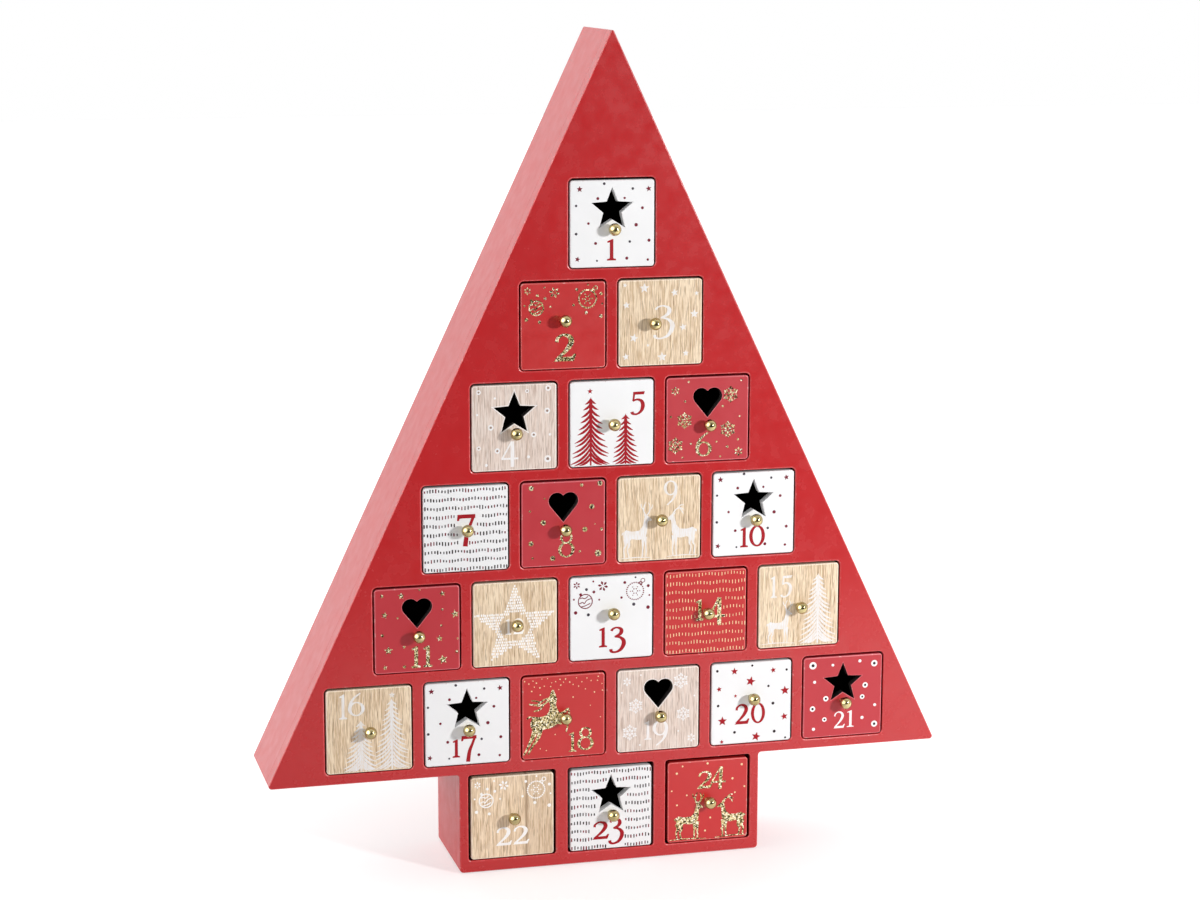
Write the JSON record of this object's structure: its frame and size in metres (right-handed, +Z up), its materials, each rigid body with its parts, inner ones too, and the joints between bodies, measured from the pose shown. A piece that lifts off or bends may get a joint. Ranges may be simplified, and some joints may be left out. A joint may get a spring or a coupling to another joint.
{
  "type": "advent calendar",
  "caption": "Tree-shaped wooden advent calendar: a flat red cabinet on a short trunk with rows of small numbered pull-out drawers, some pierced, each with a ball knob.",
  "frame": {"origin": "centre of the trunk's underside, where the calendar stands", "axes": "+Z up, +Y to the back, +X to the right as seen from the front; the drawers pull out towards -Y"},
  "size_m": [0.3546, 0.0642, 0.4271],
  "materials": {
    "cabinet_red": "satin red paint on board",
    "bare_board": "bare brown fibreboard",
    "drawer_white": "white painted front, printed; tray stained black",
    "drawer_red": "red painted front, printed; tray stained black",
    "drawer_dark_red": "dark red painted front, printed; tray stained black",
    "drawer_oak": "oak veneer front, printed white; tray stained black",
    "drawer_whitewashed": "whitewashed oak front, printed; tray stained black",
    "brass": "polished brass"
  },
  "bodies": {
    "cabinet": {"front_panel": "cabinet_red", "back_panel": "cabinet_red", "left_slope_wall": "cabinet_red", "right_slope_wall": "cabinet_red", "left_eave": "cabinet_red", "right_eave": "cabinet_red", "left_trunk_wall": "cabinet_red", "right_trunk_wall": "cabinet_red", "trunk_floor": "cabinet_red", "shelves": "bare_board", "tree_dividers": "bare_board", "trunk_dividers": "bare_board"},
    "drawer_01": {"drawer_01_box": "drawer_white", "drawer_01_knob": "brass"},
    "drawer_02": {"drawer_02_box": "drawer_red", "drawer_02_knob": "brass"},
    "drawer_03": {"drawer_03_box": "drawer_oak", "drawer_03_knob": "brass"},
    "drawer_04": {"drawer_04_box": "drawer_whitewashed", "drawer_04_knob": "brass"},
    "drawer_05": {"drawer_05_box": "drawer_white", "drawer_05_knob": "brass"},
    "drawer_06": {"drawer_06_box": "drawer_dark_red", "drawer_06_knob": "brass"},
    "drawer_07": {"drawer_07_box": "drawer_white", "drawer_07_knob": "brass"},
    "drawer_08": {"drawer_08_box": "drawer_dark_red", "drawer_08_knob": "brass"},
    "drawer_09": {"drawer_09_box": "drawer_oak", "drawer_09_knob": "brass"},
    "drawer_10": {"drawer_10_box": "drawer_white", "drawer_10_knob": "brass"},
    "drawer_11": {"drawer_11_box": "drawer_dark_red", "drawer_11_knob": "brass"},
    "drawer_12": {"drawer_12_box": "drawer_oak", "drawer_12_knob": "brass"},
    "drawer_13": {"drawer_13_box": "drawer_white", "drawer_13_knob": "brass"},
    "drawer_14": {"drawer_14_box": "drawer_red", "drawer_14_knob": "brass"},
    "drawer_15": {"drawer_15_box": "drawer_oak", "drawer_15_knob": "brass"},
    "drawer_16": {"drawer_16_box": "drawer_oak", "drawer_16_knob": "brass"},
    "drawer_17": {"drawer_17_box": "drawer_white", "drawer_17_knob": "brass"},
    "drawer_18": {"drawer_18_box": "drawer_red", "drawer_18_knob": "brass"},
    "drawer_19": {"drawer_19_box": "drawer_whitewashed", "drawer_19_knob": "brass"},
    "drawer_20": {"drawer_20_box": "drawer_white", "drawer_20_knob": "brass"},
    "drawer_21": {"drawer_21_box": "drawer_dark_red", "drawer_21_knob": "brass"},
    "drawer_22": {"drawer_22_box": "drawer_oak", "drawer_22_knob": "brass"},
    "drawer_23": {"drawer_23_box": "drawer_white", "drawer_23_knob": "brass"},
    "drawer_24": {"drawer_24_box": "drawer_red", "drawer_24_knob": "brass"}
  },
  "joints": [
    {"name": "drawer_01_slide", "type": "slide", "parent": "cabinet", "child": "drawer_01", "axis": [0, -1, 0], "range_m": [0, 0.0435]},
    {"name": "drawer_02_slide", "type": "slide", "parent": "cabinet", "child": "drawer_02", "axis": [0, -1, 0], "range_m": [0, 0.0435]},
    {"name": "drawer_03_slide", "type": "slide", "parent": "cabinet", "child": "drawer_03", "axis": [0, -1, 0], "range_m": [0, 0.0435]},
    {"name": "drawer_04_slide", "type": "slide", "parent": "cabinet", "child": "drawer_04", "axis": [0, -1, 0], "range_m": [0, 0.0435]},
    {"name": "drawer_05_slide", "type": "slide", "parent": "cabinet", "child": "drawer_05", "axis": [0, -1, 0], "range_m": [0, 0.0435]},
    {"name": "drawer_06_slide", "type": "slide", "parent": "cabinet", "child": "drawer_06", "axis": [0, -1, 0], "range_m": [0, 0.0435]},
    {"name": "drawer_07_slide", "type": "slide", "parent": "cabinet", "child": "drawer_07", "axis": [0, -1, 0], "range_m": [0, 0.0435]},
    {"name": "drawer_08_slide", "type": "slide", "parent": "cabinet", "child": "drawer_08", "axis": [0, -1, 0], "range_m": [0, 0.0435]},
    {"name": "drawer_09_slide", "type": "slide", "parent": "cabinet", "child": "drawer_09", "axis": [0, -1, 0], "range_m": [0, 0.0435]},
    {"name": "drawer_10_slide", "type": "slide", "parent": "cabinet", "child": "drawer_10", "axis": [0, -1, 0], "range_m": [0, 0.0435]},
    {"name": "drawer_11_slide", "type": "slide", "parent": "cabinet", "child": "drawer_11", "axis": [0, -1, 0], "range_m": [0, 0.0435]},
    {"name": "drawer_12_slide", "type": "slide", "parent": "cabinet", "child": "drawer_12", "axis": [0, -1, 0], "range_m": [0, 0.0435]},
    {"name": "drawer_13_slide", "type": "slide", "parent": "cabinet", "child": "drawer_13", "axis": [0, -1, 0], "range_m": [0, 0.0435]},
    {"name": "drawer_14_slide", "type": "slide", "parent": "cabinet", "child": "drawer_14", "axis": [0, -1, 0], "range_m": [0, 0.0435]},
    {"name": "drawer_15_slide", "type": "slide", "parent": "cabinet", "child": "drawer_15", "axis": [0, -1, 0], "range_m": [0, 0.0435]},
    {"name": "drawer_16_slide", "type": "slide", "parent": "cabinet", "child": "drawer_16", "axis": [0, -1, 0], "range_m": [0, 0.0435]},
    {"name": "drawer_17_slide", "type": "slide", "parent": "cabinet", "child": "drawer_17", "axis": [0, -1, 0], "range_m": [0, 0.0435]},
    {"name": "drawer_18_slide", "type": "slide", "parent": "cabinet", "child": "drawer_18", "axis": [0, -1, 0], "range_m": [0, 0.0435]},
    {"name": "drawer_19_slide", "type": "slide", "parent": "cabinet", "child": "drawer_19", "axis": [0, -1, 0], "range_m": [0, 0.0435]},
    {"name": "drawer_20_slide", "type": "slide", "parent": "cabinet", "child": "drawer_20", "axis": [0, -1, 0], "range_m": [0, 0.0435]},
    {"name": "drawer_21_slide", "type": "slide", "parent": "cabinet", "child": "drawer_21", "axis": [0, -1, 0], "range_m": [0, 0.0435]},
    {"name": "drawer_22_slide", "type": "slide", "parent": "cabinet", "child": "drawer_22", "axis": [0, -1, 0], "range_m": [0, 0.0435]},
    {"name": "drawer_23_slide", "type": "slide", "parent": "cabinet", "child": "drawer_23", "axis": [0, -1, 0], "range_m": [0, 0.0435]},
    {"name": "drawer_24_slide", "type": "slide", "parent": "cabinet", "child": "drawer_24", "axis": [0, -1, 0], "range_m": [0, 0.0435]}
  ]
}
